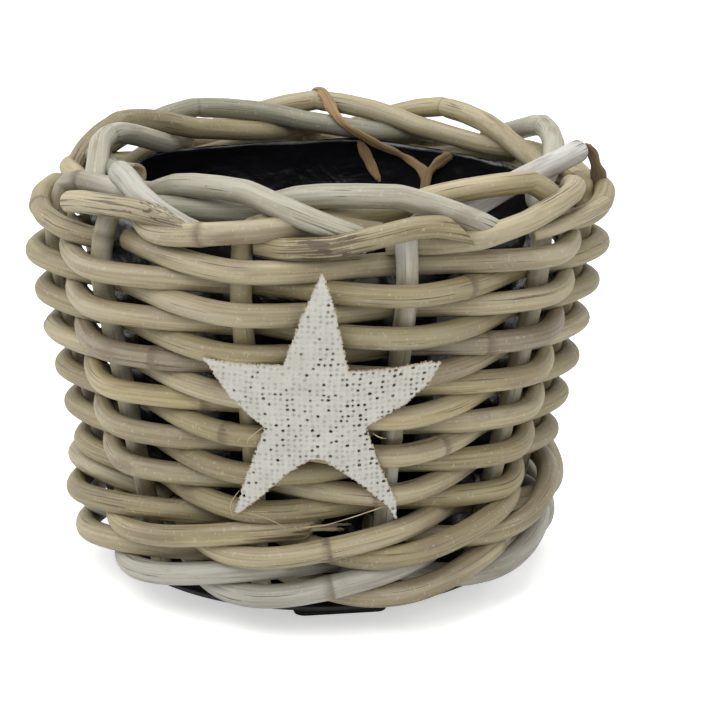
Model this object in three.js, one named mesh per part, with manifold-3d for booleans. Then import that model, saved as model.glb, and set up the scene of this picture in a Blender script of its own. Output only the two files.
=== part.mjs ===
// Rattan planter: a round basket woven from grey-washed rattan rods, with a film liner and a cloth star.
// Millimetres, +Z up. The origin is on the floor below the middle of the base, and the front faces -Y.

import * as THREE from "three";
import { mergeVertices } from "three/addons/utils/BufferGeometryUtils.js";
import Module from "manifold-3d";

const wasm = await Module();
wasm.setup();

// Stakes, the uprights of the wall
const stakeCount = 11; // odd, so that one weaver passes in front of every other stake, turn after turn
const stakeDiameter = 7;
const stakeRingRadius = 70.2; // circle of the stakes, carried down to the floor
const wallLean = THREE.MathUtils.degToRad(12.19); // the wall flares outward
const firstStakeAngle = THREE.MathUtils.degToRad(-80.3); // from the front, anticlockwise from above
const drawStart = 120; // above this height the border draws the wall in, as a parabola
const drawIn = 0.009; // per millimetre of height squared
const drawTilt = 0.00375; // more on the left and less on the right, so the rim sits over to the right
const rodGap = 0.5; // air between rods that lie on one another
const spliceGap = 1.6; // air between the ends of two lengths that follow one another

// Base
const padLength = 34;
const padWidth = 22;
const padHeight = 4.4;
const padCornerRadius = 4;
const padInset = 5; // from the edge of the board's underside
const padCount = 3;
const firstPadAngle = THREE.MathUtils.degToRad(9);
const boardThickness = 4;
const boardRim = 1.5; // board left outside the sockets
const boardEdge = 1.6; // straight part of the edge, above the bevel
const boardUndercut = 6.6; // how far the bevel draws in towards the floor
const socketDepth = 1.2;
const socketClearance = 0.3;

// Waled rounds at the foot: three rods each, in front of two stakes and behind the third
const waleRods = 3;
const footWaleDiameter = 7.9;
const upperWaleDiameter = 7.3;
const upperWaleSlack = 3; // air by which the upper round stands off the stakes in front
const waleCrossing = 1.02; // the strands cross at a slant, which takes a little more height

// Plain weave: one weaver that climbs as a spiral, in lengths that meet behind a stake
const weaverDiameter = 6.7;
const weaverStart = 5; // the stake behind which it starts
const stakesPassed = 136;
const weaverLengths = 12;
const rowFan = 0.28; // the rows open out towards the front, so the rim rises there

// Top round: two rods twined about each other between the stakes
const topRodDiameter = 7;
const twistLag = 0.26; // share of a stake space by which the rise of a rod trails its swing
const twistSkew = 0.25; // share by which the rods cross before the middle of the space
const rimRise = 12.1; // the rim line above the top round, at the front
const rimFall = 4; // how far the rim line falls to the back

// Liner, a film bucket inside the wall
const filmThickness = 1;
const linerGap = 0.35;
const linerCornerRadius = 9;
const linerTopBelowRim = 13.2;

// Cloth star on the front
const starPoints = 5;
const starHeight = 98;
const starWidth = 86;
const starValley = 0.39; // radius of the valleys as a share of that of the points
const starThickness = 1.2;
const starGap = 0.3;
const starAlong = 2.49; // counted in stakes from the first
const starMiddle = 90; // above the floor

// Raffia ties that lace the liner to the border
const tieDiameter = 2.4;
const tieGap = 0.9; // air between a tie and the film, which has flats between its facets

const stakeTurn = (2 * Math.PI) / stakeCount;
const boardTop = padHeight + boardThickness;
const stakeAngle = (along) => firstStakeAngle + along * stakeTurn;
const upright = new THREE.Vector3(0, 0, 1);
const front = -firstStakeAngle / stakeTurn;

// How sharply the border draws the wall in at a place along it.
function draw(along) {
  return drawIn - drawTilt * Math.sin(stakeAngle(along));
}

// Radius of the ring of stakes at a height, and at a place along the wall.
function wallRadius(up, along = front) {
  return stakeRingRadius + up * Math.tan(wallLean) - draw(along) * Math.max(up - drawStart, 0) ** 2;
}

// A point on the wall: along it in stakes from the first, out from the ring of stakes, up from the floor.
function wallPoint(along, out, up) {
  const radius = wallRadius(up, along) + out;
  return new THREE.Vector3(0, -radius, up).applyAxisAngle(upright, stakeAngle(along));
}

// How far a rod swings out of the ring to pass a stake, which leans by the slope of the wall there.
function swing(diameter, up = 0, along = front) {
  const slope = Math.tan(wallLean) - 2 * draw(along) * Math.max(up - drawStart, 0);
  return ((stakeDiameter + diameter) / 2 + rodGap) * Math.hypot(1, slope);
}

// How far a rod of a waled round rises above the middle of the round, and falls below it, at a stake.
function waleLift(diameter) {
  return ((diameter + rodGap) / 2) * waleCrossing;
}

// The same at the top and bottom of its wave, a quarter of a stake before or after.
function waleSwell(diameter) {
  return waleLift(diameter) / Math.cos(Math.PI / 6);
}

const footWaleMiddle = boardTop + rodGap + footWaleDiameter / 2 + waleSwell(footWaleDiameter);
const footWaleTop = footWaleMiddle + waleLift(footWaleDiameter);
const upperWaleLow = footWaleTop + (footWaleDiameter + upperWaleDiameter) / 2 + rodGap;
const upperWaleMiddle = upperWaleLow + waleLift(upperWaleDiameter);
const upperWaleTop = upperWaleMiddle + waleLift(upperWaleDiameter);
const weaveBottom = upperWaleTop + (upperWaleDiameter + weaverDiameter) / 2 + rodGap;

// Height of the weave after the weaver has passed this many stakes.
function weaveHeight(along, passed) {
  const tightPitch = (weaverDiameter + rodGap) * Math.cos(wallLean);
  const pitch = tightPitch + rowFan * (1 + Math.cos(stakeAngle(along)));
  return weaveBottom + (pitch * passed) / stakeCount;
}

// The twined rods rise and fall by this, so one lies on the other where they cross.
const twistLift = (topRodDiameter + rodGap) / 2;

// Middle height of the top round, which lies on the last turn of the weave and climbs with it.
const weaverEnd = THREE.MathUtils.euclideanModulo(weaverStart - stakesPassed, stakeCount);
function topHeight(along) {
  const rest = (weaverDiameter + topRodDiameter) / 2 + twistLift;
  return weaveHeight(along, stakesPassed - (along - weaverEnd)) + rest;
}

// Height of the rim line, which the border follows: nearly level, whatever the top round does.
function rimHeight(along) {
  return topHeight(front) + rimRise - (rimFall * (1 - Math.cos(stakeAngle(along)))) / 2;
}

// Height of the line that the ends of the border settle to, which keeps its distance from the top round.
function tailHeight(along) {
  const turn = THREE.MathUtils.euclideanModulo(along - weaverEnd, stakeCount);
  return topHeight(weaverEnd + turn) + rimRise;
}

// A path through given points, with the rings of an extrusion on the points themselves.
class RodPath extends THREE.Curve {
  constructor(points) {
    super();
    this.points = points;
  }
  getPoint(share, target = new THREE.Vector3()) {
    const place = share * (this.points.length - 1);
    const before = Math.min(Math.floor(place), this.points.length - 2);
    return target.lerpVectors(this.points[before], this.points[before + 1], place - before);
  }
  getPointAt(share, target) {
    return this.getPoint(share, target);
  }
  // Direction of the parabola through three neighbouring points, also at the ends.
  getTangentAt(share, target = new THREE.Vector3()) {
    const last = this.points.length - 1;
    const place = Math.round(share * last);
    const inner = Math.min(Math.max(place, 1), last - 1);
    const [before, here, after] = this.points.slice(inner - 1, inner + 2);
    const bend = new THREE.Vector3().addVectors(before, after).addScaledVector(here, -2);
    return target.subVectors(after, before).addScaledVector(bend, 2 * (place - inner)).normalize();
  }
}

// A rod of even thickness through the points, cut square at both ends.
function rod(points, diameter, sides = 6) {
  const corners = Array.from({ length: sides }, (_, i) => {
    const angle = (2 * Math.PI * i) / sides;
    return new THREE.Vector2(Math.cos(angle), Math.sin(angle)).multiplyScalar(diameter / 2);
  });
  return new THREE.ExtrudeGeometry(new THREE.Shape(corners), {
    steps: points.length - 1,
    extrudePath: new RodPath(points),
    bevelEnabled: false,
  });
}

// Evenly spaced values, with both ends drawn in by half a splice gap.
function stations(from, to, perStake, up) {
  const count = Math.round(Math.abs(to - from) * perStake);
  const trim = (spliceGap / 2 / (wallRadius(up) * stakeTurn)) * Math.sign(to - from);
  const values = Array.from({ length: count + 1 }, (_, i) => from + ((to - from) * i) / count);
  values[0] += trim;
  values[count] -= trim;
  return values;
}

// One rod of a waled round: behind one stake, then in front of two, three stakes to a wave.
function waleRod(index, middle, diameter, slack) {
  const strokes = Math.ceil((stakeCount - index) / waleRods);
  const start = index - 1;
  const inside = swing(diameter);
  const outside = inside / 0.92 + slack; // the flat top of the wave then clears both stakes
  const wave = (outside + inside) / 1.8;
  const offset = 1.2 * wave - inside;
  const points = stations(0, strokes * waleRods, 3, middle).map((passed) => {
    const turn = (2 * Math.PI * passed) / waleRods;
    const out = offset - wave * (Math.cos(turn) + 0.2 * Math.cos(2 * turn));
    const up = middle - waleSwell(diameter) * Math.cos(turn - Math.PI / 2);
    return wallPoint(start + passed, out, up);
  });
  return rod(points, diameter);
}

// One length of the weaver, from one number of stakes passed to another.
function weaverRod(from, to) {
  const reach = swing(weaverDiameter);
  const points = stations(from, to, 4, weaveBottom).map((passed) => {
    const along = weaverStart - passed;
    return wallPoint(along, -reach * Math.cos(Math.PI * passed), weaveHeight(along, passed));
  });
  return rod(points, weaverDiameter);
}

// The two rods of the top round: the stake that each passes in front of first, how long its blunt end lies
// straight before that, and where its swings start and end, in stakes from there.
const topRods = [
  { first: weaverEnd, straight: 0.5, from: 0, to: 10.75 },
  { first: weaverEnd + 1, straight: 0, from: -1, to: 9 },
];

function topRod({ first, straight, from, to }) {
  const points = stations(from - straight, to, 4, drawStart).map((place) => {
    const along = first + place;
    const passed = Math.max(place, from);
    const turn = Math.PI * (passed + twistSkew * Math.abs(Math.sin(Math.PI * passed)));
    const up = topHeight(along) + twistLift * Math.cos(Math.PI * (passed - twistLag));
    const reach = swing(topRodDiameter, topHeight(along) + twistLift, along);
    return wallPoint(along, reach * Math.cos(turn), up);
  });
  return rod(points, topRodDiameter);
}

// The border: each stake bends in behind the next one, runs inside past a second, comes up over the rim
// and settles outside. Stakes passed, then millimetres out of the ring and above the rim line.
const borderRoute = [
  { past: 0, out: 0, up: -11.7 },
  { past: 0, out: 0, up: -7 },
  { past: 0.15, out: -5, up: -8 },
  { past: 0.28, out: -9.7, up: -9 },
  { past: 0.45, out: -12.8, up: -8.7 },
  { past: 0.7, out: -13.5, up: -7.7 },
  { past: 1, out: -13.2, up: -5.9 },
  { past: 1.15, out: -12.2, up: -3.4 },
  { past: 1.3, out: -10, up: -1.3 },
  { past: 1.5, out: -7, up: 0 },
  { past: 1.75, out: -3.5, up: 0.6 },
  { past: 2, out: 0.2, up: 0.9 },
  { past: 2.2, out: 4, up: 0.4 },
  { past: 2.6, out: 11, up: -5.2 },
];
const borderEnd = borderRoute.at(-1).past;
const borderCrest = 2;
const shortStakes = [3, 9]; // trimmed just after they come over the rim
const shortEnd = 2.2;
const splicedStake = 10; // ends inside, where a loose length takes its place over the rim
const splicedEnd = 1.3;
const spliceStart = 1.75;

// The stretch of one stake's border between two numbers of stakes passed.
function borderPoints(stake, from, to) {
  const inStretch = (station) => station.past >= from && station.past <= to;
  return borderRoute.filter(inStretch).map(({ past, out, up }) => {
    const along = stake + past;
    const settled = Math.max(past - borderCrest, 0) / (borderEnd - borderCrest);
    const line = THREE.MathUtils.lerp(rimHeight(along), tailHeight(along), settled);
    return wallPoint(along, out, line + up);
  });
}

// Foot of a stake: its middle, just clear of the bottom of its socket.
function stakeFoot(stake) {
  return wallPoint(stake, 0, boardTop - socketDepth + socketClearance);
}

function stake(index) {
  const drawn = [0, 10, 20].map((above) => wallPoint(index, 0, drawStart + above));
  let end = shortStakes.includes(index) ? shortEnd : borderEnd;
  if (index === splicedStake) end = splicedEnd;
  return rod([stakeFoot(index), ...drawn, ...borderPoints(index, 0, end)], stakeDiameter);
}

// Solid for a cut, with the corners of its faces joined.
function toSolid(geometry) {
  geometry.deleteAttribute("normal");
  geometry.deleteAttribute("uv");
  const joined = mergeVertices(geometry);
  const vertProperties = new Float32Array(joined.attributes.position.array);
  const triVerts = new Uint32Array(joined.index.array);
  return new wasm.Manifold(new wasm.Mesh({ numProp: 3, vertProperties, triVerts }));
}

function toGeometry(solid) {
  const mesh = solid.getMesh();
  const geometry = new THREE.BufferGeometry();
  geometry.setAttribute("position", new THREE.BufferAttribute(mesh.vertProperties, 3));
  geometry.setIndex(new THREE.BufferAttribute(mesh.triVerts, 1));
  geometry.computeVertexNormals();
  return geometry;
}

// Round board with a bevelled edge and a slanting blind socket for each stake.
const boardRadius = wallRadius(boardTop) + stakeDiameter / 2 + boardRim;
const boardUnderside = boardRadius - boardUndercut;

function baseBoard() {
  const bevelHeight = boardThickness - boardEdge;
  const disc = new THREE.CylinderGeometry(boardRadius, boardRadius, boardEdge, 4 * stakeCount);
  disc.rotateX(Math.PI / 2).translate(0, 0, boardTop - boardEdge / 2);
  const bevel = new THREE.CylinderGeometry(boardRadius, boardUnderside, bevelHeight, 4 * stakeCount);
  bevel.rotateX(Math.PI / 2).translate(0, 0, padHeight + bevelHeight / 2);
  const sides = 12;
  const socketRadius = (stakeDiameter / 2 + socketClearance) / Math.cos(Math.PI / sides);
  const length = 2 * boardThickness;
  let board = toSolid(disc).add(toSolid(bevel));
  for (let index = 0; index < stakeCount; index++) {
    const bottom = wallPoint(index, 0, boardTop - socketDepth);
    const axis = wallPoint(index, 0, boardTop).sub(bottom).normalize();
    const socket = new THREE.CylinderGeometry(socketRadius, socketRadius, length, sides);
    socket.translate(0, length / 2, 0);
    socket.applyQuaternion(new THREE.Quaternion().setFromUnitVectors(new THREE.Vector3(0, 1, 0), axis));
    socket.translate(bottom.x, bottom.y, bottom.z);
    board = board.subtract(toSolid(socket));
  }
  return toGeometry(board);
}

function footPad(index) {
  const x = padLength / 2 - padCornerRadius;
  const y = padWidth / 2 - padCornerRadius;
  const outline = new THREE.Shape();
  outline.absarc(x, y, padCornerRadius, 0, Math.PI / 2);
  outline.absarc(-x, y, padCornerRadius, Math.PI / 2, Math.PI);
  outline.absarc(-x, -y, padCornerRadius, Math.PI, 1.5 * Math.PI);
  outline.absarc(x, -y, padCornerRadius, 1.5 * Math.PI, 2 * Math.PI);
  const pad = new THREE.ExtrudeGeometry(outline, { depth: padHeight, bevelEnabled: false, curveSegments: 4 });
  pad.translate(0, padInset + padWidth / 2 - boardUnderside, 0);
  return pad.rotateZ(firstPadAngle + (2 * Math.PI * index) / padCount);
}

// Film bucket that stands on the board and leans on the inner strands of the wall.
const linerOut = -(swing(footWaleDiameter) + footWaleDiameter / 2 + linerGap);
const linerBottom = boardTop + linerGap;
const linerTop = rimHeight(front + stakeCount / 2) - linerTopBelowRim;

function liner() {
  const profile = new THREE.Path();
  const outerCorner = wallRadius(linerBottom) + linerOut;
  const innerFloor = linerBottom + filmThickness;
  const innerOut = linerOut - filmThickness / Math.cos(wallLean);
  const drawn = [0, 0.5, 1].map((share) => THREE.MathUtils.lerp(drawStart, linerTop, share));
  profile.moveTo(0, linerBottom);
  profile.lineTo(outerCorner - linerCornerRadius, linerBottom);
  const outerStart = linerBottom + linerCornerRadius;
  profile.quadraticCurveTo(outerCorner, linerBottom, wallRadius(outerStart) + linerOut, outerStart);
  for (const up of drawn) profile.lineTo(wallRadius(up) + linerOut, up);
  for (const up of drawn.reverse()) profile.lineTo(wallRadius(up) + innerOut, up);
  const innerStart = innerFloor + linerCornerRadius;
  const innerCorner = wallRadius(innerFloor) + innerOut;
  profile.lineTo(wallRadius(innerStart) + innerOut, innerStart);
  profile.quadraticCurveTo(innerCorner, innerFloor, innerCorner - linerCornerRadius, innerFloor);
  profile.lineTo(0, innerFloor);
  const film = new THREE.LatheGeometry(profile.getPoints(3), 3 * stakeCount).rotateX(Math.PI / 2);
  const { position } = film.attributes;
  const corner = new THREE.Vector3();
  for (let i = 0; i < position.count; i++) {
    corner.fromBufferAttribute(position, i);
    const along = (Math.atan2(corner.x, -corner.y) - firstStakeAngle) / stakeTurn;
    const radius = Math.hypot(corner.x, corner.y);
    const tilted = radius + wallRadius(corner.z, along) - wallRadius(corner.z);
    if (radius > 0) position.setXY(i, (corner.x * tilted) / radius, (corner.y * tilted) / radius);
  }
  film.computeVertexNormals();
  return film;
}

// Star of cloth laid on the weave: a sheet of rings and spokes about its middle, bent round the wall.
const starOut = swing(weaverDiameter) + weaverDiameter / 2 + starGap;

function starPatch() {
  const rings = 3;
  const spokes = 4 * starPoints;
  const half = Math.PI / starPoints;
  const tipRadius = starHeight / (1 + Math.cos(half));
  const valleyRadius = tipRadius * starValley;
  const widthScale = starWidth / (2 * tipRadius * Math.sin(2 * half));
  const place = (ring, spoke, out) => {
    const angle = (2 * Math.PI * spoke) / spokes;
    const offTip = Math.abs((((angle + half) % (2 * half)) + 2 * half) % (2 * half) - half);
    const edge =
      (tipRadius * valleyRadius * Math.sin(half)) /
      (tipRadius * Math.sin(offTip) + valleyRadius * Math.sin(half - offTip));
    const radius = (edge * ring) / rings;
    const up = starMiddle + radius * Math.cos(angle) * Math.cos(wallLean);
    const arc = radius * Math.sin(angle) * widthScale;
    return wallPoint(starAlong + arc / (wallRadius(up) + starOut) / stakeTurn, out, up);
  };
  const points = [];
  const faces = [];
  const sideSize = 1 + rings * spokes;
  for (const out of [starOut + starThickness, starOut]) {
    points.push(place(0, 0, out));
    for (let ring = 1; ring <= rings; ring++) {
      for (let spoke = 0; spoke < spokes; spoke++) points.push(place(ring, spoke, out));
    }
  }
  const at = (side, ring, spoke) =>
    side * sideSize + (ring === 0 ? 0 : 1 + (ring - 1) * spokes + (spoke % spokes));
  for (let spoke = 0; spoke < spokes; spoke++) {
    for (let ring = 0; ring < rings; ring++) {
      const [a, b] = [at(0, ring + 1, spoke), at(0, ring + 1, spoke + 1)];
      const [c, d] = [at(1, ring + 1, spoke), at(1, ring + 1, spoke + 1)];
      faces.push(at(0, ring, spoke), b, a, at(1, ring, spoke), c, d);
      if (ring > 0) {
        faces.push(at(0, ring, spoke), at(0, ring, spoke + 1), b);
        faces.push(at(1, ring, spoke), d, at(1, ring, spoke + 1));
      }
    }
    const [a, b] = [at(0, rings, spoke), at(0, rings, spoke + 1)];
    const [c, d] = [at(1, rings, spoke), at(1, rings, spoke + 1)];
    faces.push(a, b, c, b, d, c);
  }
  const geometry = new THREE.BufferGeometry().setFromPoints(points).setIndex(faces);
  geometry.computeVertexNormals();
  return geometry;
}

// Raffia ties at the back: the first comes over the rim and slants down inside, the others end on the liner.
// Stakes from the first, out of the ring, and above the rim line.
const tieOnLiner = linerOut - filmThickness / Math.cos(wallLean) - tieDiameter / 2 - tieGap;
const tieRoutes = [
  [
    [7.99, 6.5, 0.6],
    [7.97, 6.8, 5],
    [7.95, 3.4, 7],
    [7.93, -1.2, 6],
    [7.9, -6.4, 3.4],
    [7.86, -12, 0.6],
    [7.8, -16.6, -3],
    [7.72, -19, -8],
    [7.62, -18.4, -13],
    [7.46, tieOnLiner, -17.5],
    [7.23, tieOnLiner, -21.5],
    [6.93, tieOnLiner, -24.5],
  ],
  [
    [7.53, tieOnLiner, -20],
    [7.48, tieOnLiner, -24],
    [7.4, tieOnLiner, -29],
  ],
  [
    [6.9, tieOnLiner, -28],
    [6.86, tieOnLiner, -32],
    [6.8, tieOnLiner, -36],
  ],
];

function raffiaTie(route) {
  return rod(route.map(([along, out, up]) => wallPoint(along, out, rimHeight(along) + up)), tieDiameter, 5);
}

const rattanColours = ["#a89c7e", "#9c9072", "#b8b6aa", "#b2a274", "#948a78"];
const planter = new THREE.Group();

function addPiece(name, geometry, color, roughness) {
  const piece = new THREE.Mesh(geometry, new THREE.MeshStandardMaterial({ color, roughness, metalness: 0 }));
  piece.name = name;
  planter.add(piece);
}

function addRod(name, geometry, tint) {
  addPiece(name, geometry, rattanColours[tint % rattanColours.length], 0.6);
}

const numbered = (name, index) => `${name}_${String(index + 1).padStart(2, "0")}`;

for (let index = 0; index < padCount; index++) {
  addPiece(numbered("foot_pad", index), footPad(index), "#1c1b1c", 0.8);
}
addPiece("base_board", baseBoard(), "#161516", 0.6);
for (let index = 0; index < stakeCount; index++) addRod(numbered("stake", index), stake(index), 2 * index);
for (let index = 0; index < waleRods; index++) {
  addRod(numbered("foot_wale", index), waleRod(index, footWaleMiddle, footWaleDiameter, 0), index + 2);
  const upperWale = waleRod(index, upperWaleMiddle, upperWaleDiameter, upperWaleSlack);
  addRod(numbered("upper_wale", index), upperWale, index);
}
for (let index = 0; index < weaverLengths; index++) {
  const cut = (count) => 2 * Math.round((stakesPassed * count) / weaverLengths / 2);
  addRod(numbered("weaver", index), weaverRod(cut(index), cut(index + 1)), 3 * index);
}
topRods.forEach((rods, index) => addRod(numbered("top_rod", index), topRod(rods), index + 1));
const splicePoints = borderPoints(splicedStake, spliceStart, borderEnd);
addRod("border_splice", rod(splicePoints, stakeDiameter), 2);
addPiece("liner", liner(), "#131316", 0.35);
tieRoutes.forEach((route, index) => addPiece(numbered("raffia_tie", index), raffiaTie(route), "#8a6a48", 0.8));
addPiece("star_patch", starPatch(), "#d5d3cb", 0.95);

export default planter;
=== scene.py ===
import bpy
import numpy as np
from mathutils import Matrix


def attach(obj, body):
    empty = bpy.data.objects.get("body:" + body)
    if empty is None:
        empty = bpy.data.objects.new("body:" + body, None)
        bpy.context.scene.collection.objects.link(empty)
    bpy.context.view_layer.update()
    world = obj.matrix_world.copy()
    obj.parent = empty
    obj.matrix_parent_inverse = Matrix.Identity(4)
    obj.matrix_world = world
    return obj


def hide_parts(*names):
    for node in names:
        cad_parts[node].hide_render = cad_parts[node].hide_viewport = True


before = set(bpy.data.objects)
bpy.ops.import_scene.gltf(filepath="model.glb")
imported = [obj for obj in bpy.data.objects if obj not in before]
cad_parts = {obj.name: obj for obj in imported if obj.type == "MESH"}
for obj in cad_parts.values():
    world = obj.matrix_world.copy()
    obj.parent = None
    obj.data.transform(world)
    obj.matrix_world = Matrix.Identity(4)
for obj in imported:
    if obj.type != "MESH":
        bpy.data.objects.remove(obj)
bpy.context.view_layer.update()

# Foot pads. Three pads cut from foam rubber sheet and glued under the board, near-black as painted shadow under the
# planter, with straight knife-cut sides and corners trimmed round.
PAD_LENGTH = 34.0
PAD_WIDTH = 22.0
PAD_HEIGHT = 4.4
PAD_CORNER = 4.0
PAD_INSET = 5.0  # from the lower edge of the board
PAD_COUNT = 3
FIRST_PAD_ANGLE = np.radians(9.0)
CORNER_POINTS = 7
BOARD_FOOT_RADIUS = 70.41
PAD_RING_RADIUS = BOARD_FOOT_RADIUS - PAD_INSET - PAD_WIDTH / 2


def linear(colour):
    """sRGB hex to linear red, green, blue and an alpha of one."""
    value = np.array([int(colour[i:i + 2], 16) for i in (1, 3, 5)]) / 255
    line = np.where(value <= 0.04045, value / 12.92, ((value + 0.055) / 1.055) ** 2.4)
    return (*line.tolist(), 1.0)


def add_node(material, kind, inputs=None, **settings):
    """Adds a node. Settings are its own properties; inputs gives a socket a value or the output that feeds it."""
    node = material.node_tree.nodes.new(kind)
    for key, value in settings.items():
        setattr(node, key, value)
    for socket, value in (inputs or {}).items():
        if isinstance(value, bpy.types.NodeSocket):
            material.node_tree.links.new(value, node.inputs[socket])
        else:
            node.inputs[socket].default_value = value
    return node


def new_material(name, **sockets):
    """A material with one Principled shader, and that shader."""
    material = bpy.data.materials.new(name)
    material.use_nodes = True
    shader = material.node_tree.nodes["Principled BSDF"]
    for socket, value in sockets.items():
        shader.inputs[socket.replace("_", " ")].default_value = value
    return material, shader


def add_piece(name, points, faces, material, nodes=(), attributes=None):
    """A smooth mesh from millimetres, riding on the only body, in place of the named nodes."""
    mesh = bpy.data.meshes.new(name)
    mesh.from_pydata((np.asarray(points).reshape(-1, 3) / 1000).tolist(), [], faces)
    mesh.polygons.foreach_set("use_smooth", np.ones(len(mesh.polygons), bool))
    for key, values in (attributes or {}).items():
        flat = np.asarray(values, np.float32)
        kind, member = ("FLOAT_VECTOR", "vector") if flat.ndim == 2 else ("FLOAT", "value")
        mesh.attributes.new(key, kind, "POINT").data.foreach_set(member, flat.ravel())
    mesh.materials.append(material)
    piece = bpy.data.objects.new(name, mesh)
    bpy.context.scene.collection.objects.link(piece)
    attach(piece, "root")
    if nodes:
        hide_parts(*nodes)
    return piece


def ring_faces(rings, sides):
    """Quads between neighbouring rings of a tube, and one flat face that closes each end."""
    ring, side = np.meshgrid(np.arange(rings - 1), np.arange(sides), indexing="ij")
    here, after = ring * sides, (ring + 1) * sides
    beside = (side + 1) % sides
    quads = np.stack([here + side, here + beside, after + beside, after + side], axis=-1)
    last = np.arange((rings - 1) * sides, rings * sides)
    return quads.reshape(-1, 4).tolist() + [np.arange(sides)[::-1].tolist(), last.tolist()]


def mottled(name, cell, dark, light, strength, depth, grained=False, detail=4.0, distortion=0.0, **sockets):
    """A finish whose colour runs from dark to light with one noise, which also lifts the surface. The cell of the
    noise is in millimetres, along x, y and z of the piece or, where it is grained, across and along its strands."""
    material, shader = new_material(name, **sockets)
    if grained:
        place, unit = add_node(material, "ShaderNodeAttribute", attribute_name="grain").outputs["Vector"], 1
    else:
        place, unit = add_node(material, "ShaderNodeTexCoord").outputs["Object"], 1000
    spread = add_node(material, "ShaderNodeMapping", {"Vector": place, "Scale": [unit / size for size in cell]})
    noise = add_node(material, "ShaderNodeTexNoise", {
        "Vector": spread.outputs["Vector"], "Scale": 1.0, "Detail": detail, "Distortion": distortion}).outputs["Fac"]
    colour = add_node(material, "ShaderNodeMix", {0: noise, 6: linear(dark), 7: linear(light)}, data_type="RGBA")
    bump = add_node(material, "ShaderNodeBump", {"Height": noise, "Strength": strength, "Distance": depth})
    material.node_tree.links.new(colour.outputs[2], shader.inputs["Base Color"])
    material.node_tree.links.new(bump.outputs["Normal"], shader.inputs["Normal"])
    return material


# Closed-cell foam sheet: matt near-black as painted shadow under the planter, with open pores, drawn as coarse as 0.8
# mm so that they show.
shadow_black_foam = mottled("foam_black_as_painted_shadow", (0.8, 0.8, 0.8), "#0b0b0c", "#222223", 0.4, 0.0003, detail=3.0,
                      Roughness=0.85)

# A rectangle with round corners, ring by ring from the underside to the top, with both edges a little worn.
quarter = np.repeat(np.arange(4) * np.pi / 2, CORNER_POINTS)
corner_turn = quarter + np.tile(np.linspace(0, np.pi / 2, CORNER_POINTS), 4)
corner_side = np.sign(np.stack([np.cos(quarter + np.pi / 4), np.sin(quarter + np.pi / 4)], axis=1))
corner_middle = corner_side * (np.array([PAD_LENGTH, PAD_WIDTH]) / 2 - PAD_CORNER)
edge_inset, edge_level = np.array([2.0, 0.25, 0.06, 0.0]), np.array([0.0, 0.0, 0.08, 0.3])
pad_inset = np.concatenate([edge_inset, edge_inset[::-1]])
pad_level = np.concatenate([edge_level, PAD_HEIGHT - edge_level[::-1]])
outline = np.stack([np.cos(corner_turn), np.sin(corner_turn)], axis=1)
flat = corner_middle + (PAD_CORNER - pad_inset)[:, None, None] * outline
x, y = flat[..., 0], flat[..., 1] - PAD_RING_RADIUS
for index in range(PAD_COUNT):
    turn = FIRST_PAD_ANGLE + 2 * np.pi * index / PAD_COUNT
    pad = np.stack([x * np.cos(turn) - y * np.sin(turn), x * np.sin(turn) + y * np.cos(turn),
                    pad_level[:, None] + 0 * x], axis=-1)
    add_piece(f"foam_pad_{index + 1}", pad, ring_faces(*x.shape), shadow_black_foam,
              [f"foot_pad_{index + 1:02d}"])

# Base board. A disc of plywood, near-black as painted shadow under the planter, with a bevelled lower edge,
# in which the stakes stand in slanting blind holes.
BOARD_TOP = 8.4
BOARD_RADIUS = 77.01
BOARD_EDGE = 1.6
BOARD_SIDES = 180


def turned(profile, sides):
    """A profile of radius and height carried round the axis: rings in the order of the profile."""
    turn = np.linspace(0, 2 * np.pi, sides, endpoint=False)
    radius, height = np.asarray(profile).T
    return np.stack([radius[:, None] * np.cos(turn), radius[:, None] * np.sin(turn),
                     height[:, None] + 0 * turn], axis=-1)


# Birch plywood, near-black as painted shadow under the planter, with its grain just showing, in streaks of about 17 mm
# by 1 mm.
shadow_black_plywood = mottled("plywood_black_as_painted_shadow", (50 / 3, 10 / 9, 10 / 9), "#070708", "#191818", 0.3, 0.0003,
                          Roughness=0.6)
board_profile = [
    (0.5, PAD_HEIGHT), (BOARD_FOOT_RADIUS - 0.6, PAD_HEIGHT), (BOARD_FOOT_RADIUS, PAD_HEIGHT + 0.1),
    (BOARD_FOOT_RADIUS + 0.5, PAD_HEIGHT + 0.3), (BOARD_RADIUS - 0.4, BOARD_TOP - BOARD_EDGE - 0.15),
    (BOARD_RADIUS, BOARD_TOP - BOARD_EDGE + 0.2), (BOARD_RADIUS, BOARD_TOP - 0.3),
    (BOARD_RADIUS - 0.3, BOARD_TOP), (0.5, BOARD_TOP)]
board = turned(board_profile, BOARD_SIDES)
add_piece("plywood_board", board, ring_faces(*board.shape[:2]), shadow_black_plywood, ["base_board"])

# Stakes and border. Eleven peeled rattan rods stand in the board as the uprights of the wall. Above the weave
# each one bends over, runs inside past two stakes, comes up over the rim and ends outside.
STAKE_COUNT = 11
STAKE_TURN = 2 * np.pi / STAKE_COUNT
STAKE_RING_RADIUS = 70.2
WALL_LEAN = np.radians(12.19)
FIRST_STAKE_ANGLE = np.radians(-80.3)
FRONT = -FIRST_STAKE_ANGLE / STAKE_TURN
DRAW_START = 120.0  # the border draws the wall in above this height, more on the left than on the right
DRAW_IN = 0.009
DRAW_TILT = 0.00375
STAKE_DIAMETER = 7.0
STAKE_THICKNESS = (7.1, 7.1, 7.4, 8.2, 8.2)  # from foot to end; rods are drawn fuller than they are spaced
SPLICE_THICKNESS = 8.8
ROD_GAP = 0.5
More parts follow.
